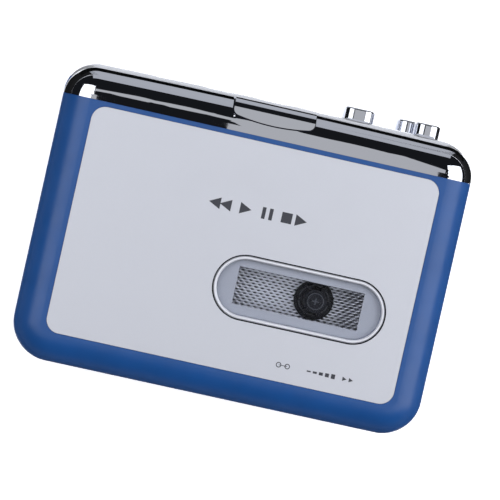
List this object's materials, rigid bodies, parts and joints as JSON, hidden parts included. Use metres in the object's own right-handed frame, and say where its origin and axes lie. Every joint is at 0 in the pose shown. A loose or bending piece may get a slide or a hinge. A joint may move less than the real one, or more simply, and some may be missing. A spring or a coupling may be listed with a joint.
{
  "type": "cassette player",
  "caption": "Slim portable cassette player with a bright banded door, long rounded window and press keys on its top edge.",
  "frame": {"origin": "middle of the flat back, between the battery lid and the key edge", "axes": "+Z out of the front (window side), +X along the long side, +Y towards the edge with the keys"},
  "size_m": [0.115, 0.0859, 0.035],
  "materials": {
    "case_blue": "soft-touch matt",
    "chrome_trim": "polished",
    "label_silver": "satin",
    "lens_clear": "clear",
    "mask_grey": "tinted film",
    "black_plastic": "matt",
    "white_plastic": "matt",
    "grey_plastic": "matt",
    "mesh_silver": "woven",
    "steel": "bright",
    "spring_steel": "bright",
    "brass_part": "turned",
    "rubber_black": "matt",
    "board_green": "solder mask"
  },
  "bodies": {
    "case": {"rear_case": "case_blue", "top_panel": "chrome_trim", "case_screws": "steel", "hinge_pins": "steel", "key_guide": "grey_plastic", "key_springs": "spring_steel", "phones_jack": "black_plastic", "usb_port": "steel", "direction_switch": "black_plastic", "volume_pot": "grey_plastic", "main_board": "board_green", "board_chips": "black_plastic", "capacitors": "black_plastic", "battery_contacts": "spring_steel", "battery_spring": "spring_steel", "chassis_plate": "steel", "deck_shafts": "steel", "deck_cover": "black_plastic", "deck_mesh": "mesh_silver", "capstan_bearings": "brass_part", "flywheel_bracket": "steel", "motor": "steel", "drive_belt": "rubber_black", "head_guides": "steel"},
    "door": {"door_frame": "case_blue", "door_chrome_bezel": "chrome_trim", "door_pull_tab": "chrome_trim", "label_plate": "label_silver", "window_ring": "label_silver", "window_lens": "lens_clear", "window_mask": "mask_grey", "cassette_holder": "black_plastic", "cassette_springs": "spring_steel", "door_catches": "grey_plastic"},
    "battery_lid": {"battery_cover": "case_blue"},
    "stop": {"stop_key": "chrome_trim", "stop_lever": "steel"},
    "play": {"play_key": "chrome_trim", "play_lever": "steel"},
    "rewind": {"rewind_key": "chrome_trim", "rewind_lever": "steel"},
    "forward": {"forward_key": "chrome_trim", "forward_lever": "steel"},
    "direction": {"direction_knob": "black_plastic"},
    "volume": {"volume_wheel": "black_plastic"},
    "flywheel_left": {"left_flywheel": "brass_part", "left_capstan": "steel"},
    "flywheel_right": {"right_flywheel": "brass_part", "right_capstan": "steel"},
    "pulley": {"motor_pulley": "brass_part"},
    "idler": {"idler_gear": "white_plastic"},
    "reel_left": {"left_spindle": "black_plastic"},
    "reel_right": {"right_spindle": "black_plastic"},
    "head": {"head_plate": "steel", "tape_head": "chrome_trim"},
    "arm_left": {"left_pinch_arm": "grey_plastic"},
    "arm_right": {"right_pinch_arm": "grey_plastic"},
    "roller_left": {"left_pinch_roller": "rubber_black"},
    "roller_right": {"right_pinch_roller": "rubber_black"}
  },
  "joints": [
    {"name": "door_hinge", "type": "hinge", "parent": "case", "child": "door", "pos_m": [0, -0.0391, 0.0229], "axis": [1, 0, 0], "range_deg": [0, 70]},
    {"name": "battery_lid_off", "type": "slide", "parent": "case", "child": "battery_lid", "axis": [0, 0, -1], "range_m": [0, 0.012]},
    {"name": "stop_press", "type": "slide", "parent": "case", "child": "stop", "axis": [0, -1, 0], "range_m": [0, 0.0026], "stiffness_N_per_m": 150},
    {"name": "rewind_press", "type": "slide", "parent": "case", "child": "rewind", "axis": [0, -1, 0], "range_m": [0, 0.0026], "stiffness_N_per_m": 150},
    {"name": "forward_press", "type": "slide", "parent": "case", "child": "forward", "axis": [0, -1, 0], "range_m": [0, 0.0026], "stiffness_N_per_m": 150},
    {"name": "head_slide", "type": "slide", "parent": "case", "child": "head", "axis": [0, -1, 0], "range_m": [0, 0.0039], "stiffness_N_per_m": 120},
    {"name": "play_press", "type": "slide", "parent": "case", "child": "play", "axis": [0, -1, 0], "range_m": [0, 0.0026]},
    {"name": "arm_left_swing", "type": "hinge", "parent": "case", "child": "arm_left", "pos_m": [-0.0182, 0.0261, 0.0193], "axis": [0, 0, 1], "range_deg": [0, 20.46]},
    {"name": "arm_right_swing", "type": "hinge", "parent": "case", "child": "arm_right", "pos_m": [0.0208, 0.0261, 0.0193], "axis": [0, 0, 1], "range_deg": [-20.46, 0]},
    {"name": "roller_left_spin", "type": "hinge", "parent": "arm_left", "child": "roller_left", "pos_m": [-0.0315, 0.0285, 0.025], "axis": [0, 0, 1], "continuous": true},
    {"name": "roller_right_spin", "type": "hinge", "parent": "arm_right", "child": "roller_right", "pos_m": [0.0341, 0.0285, 0.025], "axis": [0, 0, 1], "continuous": true},
    {"name": "direction_slide", "type": "slide", "parent": "case", "child": "direction", "axis": [1, 0, 0], "range_m": [-0.0018, 0.0018]},
    {"name": "volume_turn", "type": "hinge", "parent": "case", "child": "volume", "pos_m": [0.0506, 0.02, 0.0137], "axis": [0, 0, 1], "range_deg": [-150, 150]},
    {"name": "flywheel_right_spin", "type": "hinge", "parent": "case", "child": "flywheel_right", "pos_m": [0.0341, 0.0185, 0.007], "axis": [0, 0, 1], "continuous": true},
    {"name": "flywheel_left_spin", "type": "hinge", "parent": "case", "child": "flywheel_left", "pos_m": [-0.0315, 0.0185, 0.007], "axis": [0, 0, 1], "continuous": true},
    {"name": "pulley_spin", "type": "hinge", "parent": "case", "child": "pulley", "pos_m": [0.0013, 0.0058, 0.007], "axis": [0, 0, 1], "continuous": true},
    {"name": "idler_spin", "type": "hinge", "parent": "case", "child": "idler", "pos_m": [0.0289, 0.006, 0.01], "axis": [0, 0, 1], "continuous": true},
    {"name": "reel_right_spin", "type": "hinge", "parent": "case", "child": "reel_right", "pos_m": [0.02255, -0.0096, 0.018], "axis": [0, 0, 1], "continuous": true},
    {"name": "reel_left_spin", "type": "hinge", "parent": "case", "child": "reel_left", "pos_m": [-0.01995, -0.0096, 0.018], "axis": [0, 0, 1], "continuous": true}
  ],
  "couplings": [
    {"joint": "play_press", "follows": "head_slide", "ratio": 0.66667},
    {"joint": "arm_left_swing", "follows": "head_slide", "rad_per_m": 91.563},
    {"joint": "arm_right_swing", "follows": "head_slide", "rad_per_m": -91.563},
    {"joint": "flywheel_left_spin", "follows": "flywheel_right_spin", "ratio": 1},
    {"joint": "pulley_spin", "follows": "flywheel_right_spin", "ratio": 5.5455},
    {"joint": "idler_spin", "follows": "flywheel_right_spin", "ratio": -0.35},
    {"joint": "reel_right_spin", "follows": "flywheel_right_spin", "ratio": 0.31111}
  ]
}
